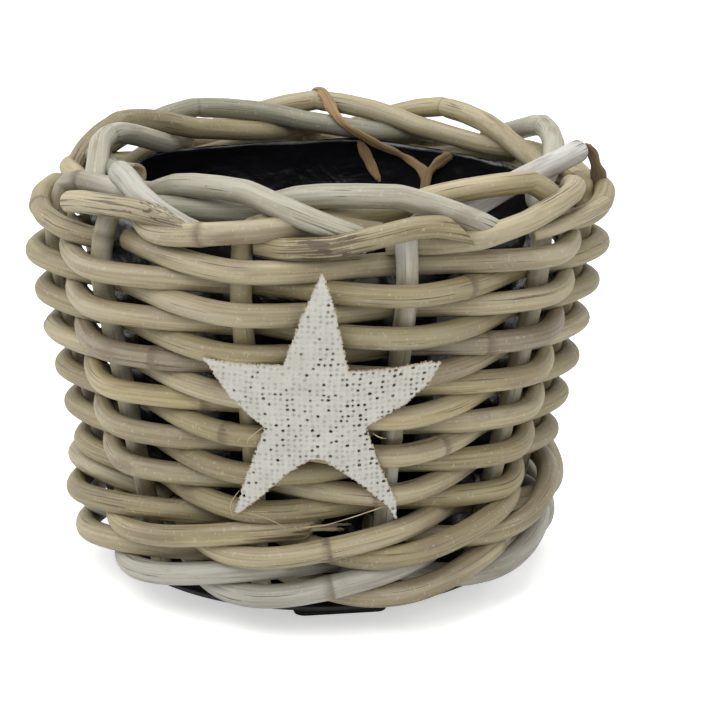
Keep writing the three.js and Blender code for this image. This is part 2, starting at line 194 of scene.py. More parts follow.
# The rim stands on the rods below it, so the sizes of those come first.
FOOT_WALE_DIAMETER = 7.9
UPPER_WALE_DIAMETER = 7.3
WALE_CROSSING = 1.02
WEAVER_DIAMETER = 6.7
STAKES_PASSED = 136
WEAVER_END = 1  # the stake at which the last weaver ends
ROW_FAN = 0.28
TOP_ROD_DIAMETER = 7.0
TWIST_LIFT = (TOP_ROD_DIAMETER + ROD_GAP) / 2
RIM_RISE = 12.1
RIM_FALL = 4.0
SOCKET_DEPTH = 1.2
SOCKET_CLEARANCE = 0.3


def stake_angle(along):
    """Angle round the axis: that of the first stake, and an equal turn for each stake from it."""
    return FIRST_STAKE_ANGLE + along * STAKE_TURN


def draw_in(along):
    """How strongly the wall is drawn in: least at the right, most at the left, with the sine of the angle."""
    return DRAW_IN - DRAW_TILT * np.sin(stake_angle(along))


def wall_radius(up, along=FRONT):
    """Radius of the ring of stakes: a cone, less a parabola above the height where the wall is drawn in."""
    return STAKE_RING_RADIUS + up * np.tan(WALL_LEAN) - draw_in(along) * np.maximum(up - DRAW_START, 0) ** 2


def wall_point(along, out, up):
    """Point of the wall: round the axis in stakes from the first, out from the ring of stakes, and up."""
    along, out, up = np.broadcast_arrays(*np.atleast_1d(along, out, up))
    angle, radius = stake_angle(along), wall_radius(up, along) + out
    return np.stack([radius * np.sin(angle), -radius * np.cos(angle), up], axis=-1)


def swing(diameter, up=0, along=FRONT):
    """How far a rod swings out of the ring of stakes to pass one of them, across the slope of the wall."""
    slope = np.tan(WALL_LEAN) - 2 * draw_in(along) * np.maximum(up - DRAW_START, 0)
    return ((STAKE_DIAMETER + diameter) / 2 + ROD_GAP) * np.hypot(1, slope)


def wale_lift(diameter):
    """Rise and fall of a waled rod at a stake, about the middle of its round."""
    return (diameter + ROD_GAP) / 2 * WALE_CROSSING


def wale_swell(diameter):
    """Rise and fall of a waled rod at the top and bottom of its wave."""
    return wale_lift(diameter) / np.cos(np.pi / 6)


FOOT_WALE_MIDDLE = BOARD_TOP + ROD_GAP + FOOT_WALE_DIAMETER / 2 + wale_swell(FOOT_WALE_DIAMETER)
UPPER_WALE_LOW = (FOOT_WALE_MIDDLE + wale_lift(FOOT_WALE_DIAMETER) + ROD_GAP
                  + (FOOT_WALE_DIAMETER + UPPER_WALE_DIAMETER) / 2)
UPPER_WALE_MIDDLE = UPPER_WALE_LOW + wale_lift(UPPER_WALE_DIAMETER)
WEAVE_BOTTOM = (UPPER_WALE_MIDDLE + wale_lift(UPPER_WALE_DIAMETER) + ROD_GAP
                + (UPPER_WALE_DIAMETER + WEAVER_DIAMETER) / 2)


def weave_height(along, passed):
    """Height of the weave after a number of stakes: the pitch opens from the back to the front."""
    pitch = (WEAVER_DIAMETER + ROD_GAP) * np.cos(WALL_LEAN) + ROW_FAN * (1 + np.cos(stake_angle(along)))
    return WEAVE_BOTTOM + pitch * passed / STAKE_COUNT


def top_height(along):
    """Middle height of the top round, which lies on the last turn of the weave and climbs with it."""
    last_turn = weave_height(along, STAKES_PASSED - (along - WEAVER_END))
    return last_turn + (WEAVER_DIAMETER + TOP_ROD_DIAMETER) / 2 + TWIST_LIFT


def rim_height(along):
    """Height of the rim line, which falls a little from the front to the back."""
    return top_height(FRONT) + RIM_RISE - RIM_FALL * (1 - np.cos(stake_angle(along))) / 2


def tail_height(along):
    """Height that the ends of the border settle to: always the same distance above the top round."""
    return top_height(WEAVER_END + (along - WEAVER_END) % STAKE_COUNT) + RIM_RISE


def smooth_path(stations, blur=1.5):
    """The line through the stations, sampled every half millimetre and averaged with a bell-shaped weight whose
    spread is the blur in millimetres. The line goes on past each end as its own mirror image."""
    place = np.concatenate([[0], np.cumsum(np.linalg.norm(np.diff(stations, axis=0), axis=1))])
    even = np.linspace(0, place[-1], int(2 * place[-1]) + 2)
    line = np.stack([np.interp(even, place, column) for column in stations.T], axis=1)
    reach = int(6 * blur)
    weight = np.exp(-0.5 * (np.arange(-reach, reach + 1) / (2 * blur)) ** 2)
    before, after = 2 * line[0] - line[reach:0:-1], 2 * line[-1] - line[-2:-reach - 2:-1]
    longer = np.concatenate([before, line, after])
    return np.stack([np.convolve(column, weight / weight.sum(), "valid") for column in longer.T], axis=1)


RING_SPACING = 1.1
ROD_SIDES = 20
JOINT_SPACING = 230.0
DISHED_END = 1.5
WORN_ROUND_END = -0.6
FROM_ABOVE, FROM_BELOW = -1.57, np.pi / 2  # side from which a slanting cut is made, in radians round the rod


def path_axes(path, along):
    """Points of a path at places along it, and two directions across it: one as near as can be to straight away
    from the axis of the planter, the other square to that and to the path."""
    place = np.concatenate([[0], np.cumsum(np.linalg.norm(np.diff(path, axis=0), axis=1))])
    slope = np.gradient(path, place, axis=0)
    centre = np.stack([np.interp(along, place, column) for column in path.T], axis=1)
    tangent = np.stack([np.interp(along, place, column) for column in slope.T], axis=1)
    tangent /= np.linalg.norm(tangent, axis=1, keepdims=True)
    outward = centre * (1, 1, 0) / np.linalg.norm(centre[:, :2], axis=1, keepdims=True)
    normal = outward - tangent * (outward * tangent).sum(axis=1, keepdims=True)
    normal /= np.linalg.norm(normal, axis=1, keepdims=True)
    return centre, normal, np.cross(tangent, normal)


def rattan_rod(name, path, thickness, seed, material, nodes, joints=None, worn=(), dish=0.3, slant=(0, 0),
               slant_side=(0, 0), painted_shade_below=0.0, creases=()):
    """Rings round a path that wanders by a few tenths of a millimetre. The radius is half the thickness, times a
    slow wave, a swelling at each joint, a dent at each crease and a few percent of out-of-round. Joints, creases
    and worn stretches are placed by their share of the length. A cut end is dished, or rounded where the dish is
    below nought; a slanting end is cut by a plane that crosses the rod over the length of the slant."""
    draw = np.random.default_rng(seed)
    length = np.linalg.norm(np.diff(path, axis=0), axis=1).sum()
    end_along, end_share = np.array([dish, 0.75 * dish, 0.0, 0.1, 0.4]), np.array([0.1, 0.55, 0.74, 0.94, 1.0])
    along = np.concatenate([end_along, np.arange(1.2, length - 1.2, RING_SPACING), length - end_along[::-1]])
    share = np.concatenate([end_share, np.ones(len(along) - 2 * len(end_share)), end_share[::-1]])
    centre, normal, beside = path_axes(path, along)
    wander = draw.uniform(0, 2 * np.pi, 6)
    sway = 0.16 * np.sin(along / 21 + wander[0]) + 0.1 * np.sin(along / 9.5 + wander[1])
    lift = 0.16 * np.sin(along / 24 + wander[2]) + 0.1 * np.sin(along / 8.3 + wander[3])
    centre = centre + sway[:, None] * normal + lift[:, None] * beside
    if joints is None:
        joints = (np.arange(draw.uniform(20, 160), length, JOINT_SPACING) + draw.uniform(-25, 25)) / length
    off_joint = along[:, None] - length * np.asarray(joints).reshape(1, -1)
    swelling = (0.05 * np.exp(-(off_joint / 2.6) ** 2) + 0.035 * np.exp(-(off_joint / 0.8) ** 2)).sum(axis=1)
    mark = (0.6 * np.exp(-(off_joint / 2.4) ** 2) + 0.4 * np.exp(-((off_joint - 0.9) / 0.6) ** 2)).sum(axis=1)
    off_crease = along[:, None] - length * np.asarray(creases).reshape(1, -1)
    swelling = swelling - 0.07 * np.exp(-(off_crease / 1.6) ** 2).sum(axis=1)
    mark = mark + 0.6 * np.exp(-(off_crease / 0.8) ** 2).sum(axis=1)
    wear = 0.25 * np.exp(-np.minimum(along, length - along) / 6)
    for middle, reach, depth in worn:
        wear = wear + depth * np.exp(-((along - middle * length) / reach) ** 2)
    # painted shade: below the given height the rod is marked to be browner and darker, for uprights behind the weave
    # and runs inside the rim
    brown = np.clip((painted_shade_below - centre[:, 2]) / 8, 0, 1)
    radius = np.interp(along, np.linspace(0, length, len(np.atleast_1d(thickness))), np.atleast_1d(thickness)) / 2
    radius = radius * share * (1 + swelling + 0.018 * np.sin(along / 33 + wander[4]))
    angle = np.linspace(0, 2 * np.pi, ROD_SIDES, endpoint=False)
    round_off = 1 + 0.018 * np.cos(2 * angle + wander[5] + along[:, None] / 60) + 0.01 * np.cos(5 * angle + wander[0])
    x, y = radius[:, None] * round_off * np.cos(angle), radius[:, None] * round_off * np.sin(angle)
    cut = np.where((share < 0.9) & (dish > 0), 1.0, 0.0)[:, None] + 0 * x
    for distance, cut_length, side in ((along, slant[0], slant_side[0]), (length - along, slant[1], slant_side[1])):
        if cut_length:
            half = radius.max()
            limit = np.clip(half * (2 * distance / cut_length - 1), -0.85 * half, None)[:, None]
            across, beyond = x * np.cos(side) + y * np.sin(side), y * np.cos(side) - x * np.sin(side)
            width = np.sqrt(np.clip(half ** 2 - limit ** 2, 0.1, None))
            beyond = np.where(across > limit, np.clip(beyond, -width, width), beyond)
            across = np.minimum(across, limit)
            x, y = across * np.cos(side) - beyond * np.sin(side), across * np.sin(side) + beyond * np.cos(side)
    points = centre[:, None] + x[..., None] * normal[:, None] + y[..., None] * beside[:, None]
    grain = np.stack([x, y, along[:, None] + 0 * x], axis=-1) + draw.uniform(0, 900, 3)
    flat = {"grain": grain.reshape(-1, 3), "joint": np.repeat(mark, ROD_SIDES), "cut": cut.ravel(),
            "worn": np.repeat(wear, ROD_SIDES), "brown": np.repeat(brown, ROD_SIDES)}
    return add_piece(name, points, ring_faces(len(along), ROD_SIDES), material, nodes, flat)


RATTAN_CELLS = {  # millimetres across and along the rod; fibres, cracks and pith are coarser than real ones, to show
    "fibre": (0.9, 34), "tone": (16, 70), "wash": (4, 42), "stain": (7, 22), "crack": (0.7, 34), "bark": (1.9, 7),
    "pith": (0.7, 6), "scuff": (1.6, 1.0)}


def washed_rattan(name, dark, light, wash):
    """Peeled rattan, weathered and lime washed: satin skin with faint fibres along the rod, chalky patches of wash,
    brown stains, dark cracks along a worn stretch, scraps of bark, a scar at a joint and porous pith at a cut."""
    material, shader = new_material(name, IOR=1.45)
    skin = add_node(material, "ShaderNodeAttribute", attribute_name="grain").outputs["Vector"]
    value = {}
    for key, (across, along) in RATTAN_CELLS.items():
        spread = add_node(material, "ShaderNodeMapping", {
            "Vector": skin, "Scale": (1 / across, 1 / across, 1 / along)})
        value[key] = add_node(material, "ShaderNodeTexNoise", {
            "Vector": spread.outputs["Vector"], "Scale": 1.0, "Detail": 3.0}).outputs["Fac"]
    for key in ("brown", "joint", "cut", "worn"):
        value[key] = add_node(material, "ShaderNodeAttribute", attribute_name=key).outputs["Fac"]
    for key, share in (("bark", 0.25), ("crack", 0.15)):  # more of both where a rod is worn
        value[key] = add_node(material, "ShaderNodeMath", {
            0: value["worn"], 1: share, 2: value[key]}, operation="MULTIPLY_ADD").outputs[0]
    pale = add_node(material, "ShaderNodeMapRange", {
        "Value": value["fibre"], "From Min": 0.3, "From Max": 0.7}).outputs["Result"]
    colour = add_node(material, "ShaderNodeMix", {
        0: pale, 6: linear(dark), 7: linear(light)}, data_type="RGBA").outputs[2]
    level = {}
    # the first layer, brown, is painted shade on the uprights within the wall and on the runs inside the rim
    for key, low, high, share, tint in (  # each laid over the last, between two levels of its own pattern
            ("brown", 0.0, 1.0, 0.85, "#8f8467"), ("tone", 0.46, 0.72, 0.6, "#6b5f4c"),
            ("wash", 0.42, 0.68, 0.62, wash), ("stain", 0.56, 0.74, 0.55, "#6f6050"),
            ("scuff", 0.6, 0.7, 0.3, "#c4bda9"), ("bark", 0.84, 0.88, 0.9, "#4b3a27"),
            ("crack", 0.645, 0.7, 0.8, "#463a2c"), ("joint", 0.1, 0.9, 0.62, "#54473a"),
            ("cut", 0.2, 0.8, 1.0, "#a89878")):
        level[key] = add_node(material, "ShaderNodeMapRange", {
            "Value": value[key], "From Min": low, "From Max": high, "To Max": share},
            interpolation_type="SMOOTHSTEP").outputs["Result"]
        colour = add_node(material, "ShaderNodeMix", {
            0: level[key], 6: colour, 7: linear(tint)}, data_type="RGBA").outputs[2]
    pores = add_node(material, "ShaderNodeMath", {0: level["cut"], 1: value["pith"]}, operation="MULTIPLY").outputs[0]
    colour = add_node(material, "ShaderNodeMix", {
        0: pores, 6: colour, 7: linear("#4a3d2e")}, data_type="RGBA").outputs[2]
    rough = add_node(material, "ShaderNodeMapRange", {
        "Value": value["wash"], "From Min": 0.3, "From Max": 0.7, "To Min": 0.42, "To Max": 0.62}).outputs["Result"]
    relief = add_node(material, "ShaderNodeMath", {
        0: level["crack"], 1: -1.5, 2: value["fibre"]}, operation="MULTIPLY_ADD").outputs[0]
    relief = add_node(material, "ShaderNodeMath", {0: level["bark"], 1: 2.0, 2: relief}, operation="MULTIPLY_ADD")
    bump = add_node(material, "ShaderNodeBump", {
        "Height": relief.outputs[0], "Strength": 0.3, "Distance": 0.00025})
    material.node_tree.links.new(colour, shader.inputs["Base Color"])
    material.node_tree.links.new(rough, shader.inputs["Roughness"])
    material.node_tree.links.new(bump.outputs["Normal"], shader.inputs["Normal"])
    return material


RATTAN = {
    "sand": washed_rattan("rattan_sand", "#84785c", "#aa9f80", "#a89f88"),
    "olive": washed_rattan("rattan_olive", "#766a4b", "#988d6a", "#968d74"),
    "pale": washed_rattan("rattan_pale", "#888472", "#aaa694", "#b1aea2"),
    "straw": washed_rattan("rattan_straw", "#8c7e5b", "#b0a47e", "#aca289"),
    "umber": washed_rattan("rattan_umber", "#726652", "#928771", "#938a7a"),
    "grey": washed_rattan("rattan_grey", "#6c6a59", "#8f8c77", "#8f8d7e"),
    "ash": washed_rattan("rattan_ash", "#8b887b", "#adaa9f", "#b5b3aa"),
    "chalk": washed_rattan("rattan_chalk", "#a8a6a2", "#c8c6c2", "#d0cfcc"),
}

BORDER_CREST = 2.0
BORDER_END = 2.76
BORDER_ROUTE = np.array([  # stakes passed, then millimetres out of the ring and above the rim line
    (0, 0, -16), (0, 0, -12), (0.12, -3, -9.5), (0.28, -8.8, -9.6), (0.45, -12.2, -9.6), (0.7, -13.6, -9),
    (1, -13.4, -7.6), (1.15, -12, -5), (1.3, -9.6, -2.6), (1.5, -6.6, -0.9), (1.75, -3, 0.1), (1.98, 0.6, 0.3),
    (2.2, 3.4, -2.4), (2.4, 4.6, -5.6), (2.6, 4.2, -9.4), (2.76, 2.8, -13)])
BACK_ROUTE = np.array([  # round the back they climb to the crest, and their ends stand off outside
    (0, 0, -16), (0, 0, -11), (0.12, -3.6, -9.8), (0.28, -9.2, -10), (0.45, -12.5, -9.7), (0.7, -13.4, -8.4),
    (0.95, -12.9, -6.7), (1.1, -12, -5.8), (1.25, -10.3, -4.2), (1.5, -7, -1.9), (1.75, -3.4, -0.3), (1.98, 0.4, 0.5),
    (2.2, 4, -0.6), (2.4, 7.4, -2.8), (2.6, 9.8, -5.6), (2.76, 10.6, -8)])
TUCKED_ROUTE = np.concatenate([BACK_ROUTE[:12], BORDER_ROUTE[12:]])  # past the crest it lies close, as in front
LEFT_ROUTE = np.array([  # the one that turns over early and lies along the inside of the rim
    (0, 0, -16), (0, 0, -13), (0.12, -3, -12), (0.28, -8.8, -12), (0.45, -12.2, -10), (0.7, -13.2, -6.5),
    (0.9, -11.4, -3.6), (1.05, -9.4, -1.6), (1.2, -7.4, -0.2), (1.38, -5.8, 0.2), (1.58, -5.6, -1.4), (1.86, -8, -5),
    (2.1, -8.8, -8.5), (2.26, -9, -15)])
LIFTED_ROUTE = np.array([  # the one that stands up off the rim, trimmed short
    (0, 0, -16), (0, 0, -12), (0.12, -3, -9.5), (0.28, -8.8, -9.6), (0.45, -12.2, -9.6), (0.7, -13.6, -8.4),
    (1, -13, -4.8), (1.24, -10, -1.9), (1.64, -6, 0.5), (1.8, -3.4, 1.3), (1.93, -0.6, 1.8)])
INNER_ROUTE = np.array([  # the one that ends inside, where a loose length takes its place over the rim
    (0, 0, -16), (0, 0, -12), (0.12, -3, -10.5), (0.28, -8.8, -10.4), (0.45, -12.8, -10.2), (0.7, -14.8, -9.6),
    (1, -15.6, -8.2), (1.3, -16, -6.4), (1.54, -16.6, -5.2)])
SPLICED_STAKE = 10
ROUTES = [BORDER_ROUTE, BORDER_ROUTE, BORDER_ROUTE, LIFTED_ROUTE, BACK_ROUTE, BACK_ROUTE, BACK_ROUTE, BACK_ROUTE,
          TUCKED_ROUTE, LEFT_ROUTE, INNER_ROUTE]
SPLICE_ROUTE = np.array([(1.74, -3.4, -1.6), (1.98, 0.6, -1.8), (2.2, 3, -4.8), (2.4, 3.8, -8.2), (2.6, 3.8, -11.6),
                         (2.76, 3.6, -14)])
STAKE_SHIFT = {1: -0.08, 4: 0.06}  # two stakes stand off their even place
TAIL_REACH = {1: 0.8, 2: 0.25, 7: 0.8, 8: 0.4}  # ends that drop sooner, as a share of the usual length
CREST_SHIFT = {8: -0.15}  # stakes by which a crest stands off its even place
BACK_SAG = 0.6  # the border settles lower at the back
BORDER_START = 142.0
PAINTED_SHADE_BELOW = 149.0  # painted shade: below this height the uprights within the wall and the runs inside the rim are browner and darker
CREASED_STAKES = range(4, 10)  # those that are bent sharply at their crest
STAKE_TINT = ["pale", "pale", "straw", "chalk", "pale", "straw", "sand", "grey", "olive", "pale", "grey"]


def border_line(route, stake):
    """A stake's route along the border, from the stake's own place. Past the crest the height goes over from the rim
    line to the line that the ends settle to, and a short tail passes fewer stakes. A stake that stands off its even
    place comes back to it halfway to the next, and a shifted crest moves over just before it is reached."""
    past, out, up = route.T
    settled = np.maximum(past - BORDER_CREST, 0) / (BORDER_END - BORDER_CREST)
    tail = np.maximum(past - BORDER_CREST, 0) * (1 - TAIL_REACH.get(stake, 1))
    along = stake + past - tail + STAKE_SHIFT.get(stake, 0) * np.clip(1 - 2 * past, 0, 1)
    along = along + CREST_SHIFT.get(stake, 0) * np.clip(2 * past - 2.4, 0, 1)
    up = up - BACK_SAG * (1 - np.cos(stake_angle(along))) / 2
    return wall_point(along, out, rim_height(along) * (1 - settled) + tail_height(along) * settled + up)


for index in range(STAKE_COUNT):
    place = index + STAKE_SHIFT.get(index, 0)
    foot = wall_point(place, 0, BOARD_TOP - SOCKET_DEPTH + SOCKET_CLEARANCE)
    drawn = wall_point(place, 0, np.arange(DRAW_START, BORDER_START, 3.0))
    path = smooth_path(np.concatenate([foot, drawn, border_line(ROUTES[index], index)]), 1.2)
    creases = [np.argmax(path[:, 2]) / len(path)] if index in CREASED_STAKES else []
    rattan_rod(f"rattan_stake_{index + 1:02d}", path, STAKE_THICKNESS, 100 + index, RATTAN[STAKE_TINT[index]],
               [f"stake_{index + 1:02d}"], worn=[(0.8, 5, 0.5), (0.99, 8, 0.6)], dish=DISHED_END,
               painted_shade_below=PAINTED_SHADE_BELOW, creases=creases)
rattan_rod("rattan_border_splice", smooth_path(border_line(SPLICE_ROUTE, SPLICED_STAKE)), SPLICE_THICKNESS, 150,
           RATTAN["ash"], ["border_splice"], joints=[], dish=WORN_ROUND_END, slant=(0, 26), slant_side=(0, FROM_BELOW))


def torn_strip(name, path, width, seed, material, nodes, facing=0.0):
    """A flat strip: a ridged ellipse whose width wanders, carried along the path and turning slowly about it from
    the way it faces. It is two fifths as thick as it is wide, and both ends taper."""
    draw = np.random.default_rng(seed)
    along = np.arange(0, np.linalg.norm(np.diff(path, axis=0), axis=1).sum(), 0.5)
    centre, normal, beside = path_axes(path, along)
    angle = np.linspace(0, 2 * np.pi, 16, endpoint=False)
    ends = np.clip(np.minimum(along, along[-1] - along) / 1.5, 0.6, 1)
    phase = draw.uniform(0, 6, 4)
    wide = width / 2 * ends * (1 + 0.22 * np.sin(along / 4.1 + phase[0]) + 0.1 * np.sin(along / 1.3 + phase[1]))
    twist = (facing + 0.5 * np.sin(along / 11 + phase[2]))[:, None]
    ridge = 1 + 0.3 * np.cos(6 * angle + phase[3])
    thin, broad = 0.2 * width * (ends[:, None] * ridge) * np.cos(angle), wide[:, None] * np.sin(angle)
    x, y = thin * np.cos(twist) - broad * np.sin(twist), thin * np.sin(twist) + broad * np.cos(twist)
    points = centre[:, None] + x[..., None] * normal[:, None] + y[..., None] * beside[:, None]
    grain = np.stack([x, y, along[:, None] + 0 * x], axis=-1).reshape(-1, 3) + draw.uniform(0, 900, 3)
    add_piece(name, points, ring_faces(*points.shape[:2]), material, nodes, {"grain": grain})


# Bark that has come off a rod: brown and papery, with dark strands along it.
rattan_bark = mottled("rattan_bark", (0.5, 0.5, 10), "#3d3022", "#8a7556", 0.0, 0.0003, grained=True, Roughness=0.8)
BARK_ROUTE = np.array([  # hangs from the lifted end: stakes from the first, out of the ring, height
    (4.95, 2.4, 163.5), (4.98, 4.2, 161), (5.0, 4.8, 156), (5.04, 5.6, 151), (5.06, 5.8, 146)])
BARK_WIDTH = 5.0
torn_strip("bark_strip", smooth_path(wall_point(*BARK_ROUTE.T), 1.0), BARK_WIDTH, 160, rattan_bark,
           ["stake_04"], np.pi / 2)

# Waled rounds. Two rounds of three rattan rods at the foot of the wall, each rod in front of two stakes and behind
# the third; the lower round of the thicker rods locks the stakes to the board.
WALE_RODS = 3
FOOT_WALE_THICKNESS = 8.5
UPPER_WALE_THICKNESS = 8.1
FOOT_WALE_RISE = 2.4  # both rounds are packed up against the weave
UPPER_WALE_RISE = 1.6
WALE_EASE = 0.92  # they swing wider in front of the stakes than behind, and lie loose there
WALE_SLACK = 3.0
WALE_TILT = 2.4  # the rounds stand wider below than above
HARMONIC = 0.2
LENGTH_GAP = 1.6
STATIONS_PER_STAKE = 24


def trimmed(first, last, up):
    """Stations between two stakes, less half of the gap between two lengths at each end."""
    trim = LENGTH_GAP / 2 / (wall_radius(up) * STAKE_TURN) * np.sign(last - first)
    return np.linspace(first + trim, last - trim, int(abs(last - first) * STATIONS_PER_STAKE))


def wale_line(index, middle, diameter, first=0.0, last=None):
    """Behind one stake and in front of two: a cosine with its second harmonic, three stakes long, that touches
    the stake behind and has slack in front. It rises and falls by a sine of the same length."""
    strokes = -(-(STAKE_COUNT - index) // WALE_RODS)
    passed = trimmed(first, last or strokes * WALE_RODS, middle)
    inside = swing(diameter)
    wave = (inside / WALE_EASE + WALE_SLACK + inside) / (1.5 * (1 + HARMONIC))
    turn = 2 * np.pi * passed / WALE_RODS
    bulge = 1 + HARMONIC - np.cos(turn) - HARMONIC * np.cos(2 * turn)
    out = wave * bulge - inside + WALE_TILT * np.sin(turn)
    return wall_point(index - 1 + passed, out, middle - wale_swell(diameter) * np.cos(turn - np.pi / 2))


for index, tint in enumerate(("sand", "ash", "ash")):
    line = wale_line(index, FOOT_WALE_MIDDLE + FOOT_WALE_RISE, FOOT_WALE_DIAMETER)
    rattan_rod(f"rattan_foot_wale_{index + 1}", smooth_path(line), FOOT_WALE_THICKNESS, 204 + 10 * index,
               RATTAN[tint], [f"foot_wale_{index + 1:02d}"])
# The second rod of the upper round is torn through under the star and goes on as another length.
for index, first, last, tint, joints, worn, slant in (
        (0, 0, None, "olive", [], [(0.16, 18, 0.5)], 0), (2, 0, None, "sand", [0.172, 0.7], [(0.17, 9, 0.6)], 0),
        (1, 0, 2.6, "straw", [], [(0.9, 16, 0.8)], 12), (1, 2.9, None, "sand", [0.4], [], 0)):
    line = wale_line(index, UPPER_WALE_MIDDLE + UPPER_WALE_RISE, UPPER_WALE_DIAMETER, first, last)
    rattan_rod(f"rattan_upper_wale_{index + 1}{'_end' if first else ''}", smooth_path(line), UPPER_WALE_THICKNESS,
               205 + 10 * index, RATTAN[tint], [f"upper_wale_{index + 1:02d}"], joints, worn, slant=(0, slant),
               slant_side=(0, 0.4))
SPLINTER_WIDTH = 1.5
for index, (out, up) in enumerate(((2.2, 0.4), (1.6, -1.8), (3.2, -0.6))):
    splinter = wale_line(1, UPPER_WALE_MIDDLE + UPPER_WALE_RISE, UPPER_WALE_DIAMETER, 2.3, 2.78 - 0.06 * index)
    splinter = splinter + np.linspace(0.4, 1, len(splinter))[:, None] * (0.35 * out, -out, up)
    torn_strip(f"rattan_splinter_{index + 1}", splinter, SPLINTER_WIDTH, 230 + index, RATTAN["straw"],
               ["upper_wale_02"])

# Weavers. The plain weave of the wall, of thinner rattan: one rod after another climbs as a spiral, in front of one
# stake and behind the next, and each length starts where the last one ended, behind a stake.
WEAVER_START = 5
WEAVER_LENGTHS = 12
WEAVER_THICKNESS = 7.9
BEND = 0.93  # one would be straight between the stakes, near nought a plain wave
WEAVER_JOINTS = np.array([  # by the number of stakes passed
    4.2, 13.1, 34.6, 47.1, 58.3, 71.0, 80.6, 89.4, 97.2, 105.5, 122.6, 131.9])
WEAVER_TINT = ["olive", "sand", "olive", "sand", "olive", "straw", "sand", "umber", "olive", "sand", "olive", "sand"]


def weaver_line(first, last):
    """In front of one stake and behind the next: a cosine sharpened towards a zigzag."""
    passed = trimmed(first, last, WEAVE_BOTTOM)
    along = WEAVER_START - passed
    wave = np.arcsin(BEND * np.cos(np.pi * passed)) / np.arcsin(BEND)
    return wall_point(along, -swing(WEAVER_DIAMETER) * wave, weave_height(along, passed))


weaver_cuts = [2 * round(STAKES_PASSED * count / WEAVER_LENGTHS / 2) for count in range(WEAVER_LENGTHS + 1)]
for index, (first, last) in enumerate(zip(weaver_cuts[:-1], weaver_cuts[1:])):
    joints = (WEAVER_JOINTS[(WEAVER_JOINTS > first) & (WEAVER_JOINTS < last)] - first) / (last - first)
    worn = [(share, 6, 0.45) for share in joints]
    rattan_rod(f"rattan_weaver_{index + 1:02d}", smooth_path(weaver_line(first, last), 1.7), WEAVER_THICKNESS,
               300 + index, RATTAN[WEAVER_TINT[index]], [f"weaver_{index + 1:02d}"], joints, worn)

# Top round. Two strands of rattan rod twined about each other between the stakes close the weave under the border.
# Each strand is pieced from shorter rods; one ends in a point, one keeps scraps of bark and one is a trimmed stub.
TWIST_LAG = 0.26
TWIST_RISE = 2.6  # the strands bed into each other where they cross
TWIST_SKEW = 0.25


def top_line(first, begin, end):
    """Each strand swings in and out from stake to stake, crossing early, and rises and falls a little later."""
    passed = trimmed(begin, end, DRAW_START)
    along = first + passed
    turn = np.pi * (passed + TWIST_SKEW * np.abs(np.sin(np.pi * passed)))
    reach = swing(TOP_ROD_DIAMETER, top_height(along) + TWIST_LIFT, along)
    rise = TWIST_RISE * np.cos(np.pi * (passed - TWIST_LAG))
    return wall_point(along, reach * np.cos(turn), top_height(along) + rise)


# Routes of the lengths that leave the round: stakes from the first, out of the ring, height.
pointed = np.array([(0.66, 8.4, 149.4), (0.8, 9, 151.4), (1.0, 8.9, 152.6), (1.28, 8.9, 153.8), (1.43, 8.8, 153.6),
                    (1.62, 8.6, 152.8), (1.92, 8.2, 151)])
barked = np.array([(2.1, 1, 146), (2.25, 4.6, 146), (2.55, 8, 147.7), (2.8, 8.8, 151), (3.0, 8.9, 153.4),
                   (3.14, 8.8, 153.4), (3.26, 8.6, 151.8), (3.38, 8.4, 149.4)])
climbing = np.array([(2.9, -6, 145), (3.2, 0, 145.4), (3.45, 5.6, 147), (3.75, 8.4, 150.6), (4.0, 8.8, 153.6),
                     (4.2, 8, 155.6), (4.36, 5, 156), (4.5, 0, 154)])
stub = np.array([(3.86, 4, 144.4), (4.0, 7.5, 145.8), (4.2, 9.6, 147.4), (4.5, 12.7, 149.2)])
closing = np.array([(10.6, 3, 142.5), (10.85, 6.4, 142), (11.1, 7.6, 141.2), (11.35, 7.6, 140.4), (11.6, 5.6, 139.4),
                    (11.8, 1, 138.4), (11.9, -2.6, 138)])
long_line = np.concatenate([top_line(1, 3.2, 9.3), wall_point(*closing.T)])
for label, line, thickness, seed, tint, node, joints, worn, slant in (
        ("1_pointed", wall_point(*pointed.T), 7.9, 409, "sand", 1, [], [(0.8, 18, 0.95), (0.4, 18, 0.75)], 32),
        ("1_barked", wall_point(*barked.T), 7.8, 408, "olive", 1, [], [(0.3, 16, 1.4), (0.95, 9, 0.8)], 12),
        ("1_long", long_line, 7.6, 406, "olive", 1, None, [(0.97, 16, 0.6)], 0),
        ("1_stub", wall_point(*stub.T), 5.2, 406, "sand", 1, [], [(0.8, 12, 0.6)], 0),
        ("2_first", top_line(2, -1, 0.9), 7.8, 407, "sand", 2, [0.42], [(0.3, 20, 0.5)], 0),
        ("2_climbing", wall_point(*climbing.T), 7.8, 410, "sand", 2, [], [(0.7, 12, 0.5)], 0),
        ("2_long", top_line(2, 2.6, 9), 7.5, 406, "straw", 2, None, [], 0)):
    rattan_rod(f"rattan_top_rod_{label}", smooth_path(line, 1.7), thickness, seed, RATTAN[tint],
               [f"top_rod_{node:02d}"], joints, worn, WORN_ROUND_END, (0, slant), (0, FROM_ABOVE))

# Liner. A bucket of black polythene film, pushed down inside the wall and puckered where it is too wide.
# It stands on the board and is laced to the border at the back.
FILM = 0.5
LINER_GAP = 0.35
LINER_CORNER = 9.0
LINER_BELOW_RIM = 13.2
LINER_SIDES = 300
FOLDS, FOLD_DEPTH = 9, 2.0
PUCKERS, PUCKER_DEPTH = 23, 0.7
EDGE_DIP = 1.8
AXIS_HOLE = 1.0  # the rings start this far from the axis and a small face closes them
LINER_OUT = -(swing(FOOT_WALE_DIAMETER) + FOOT_WALE_DIAMETER / 2 + LINER_GAP)
LINER_BOTTOM = BOARD_TOP + LINER_GAP
LINER_TOP = rim_height(FRONT + STAKE_COUNT / 2) - LINER_BELOW_RIM

# Polythene film: black, half glossy, with soft creases that catch the light.
black_film = mottled("black_polythene_film", (18, 18, 18), "#060607", "#111115", 0.6, 0.003, distortion=0.6,
                     Roughness=0.27, IOR=1.5)


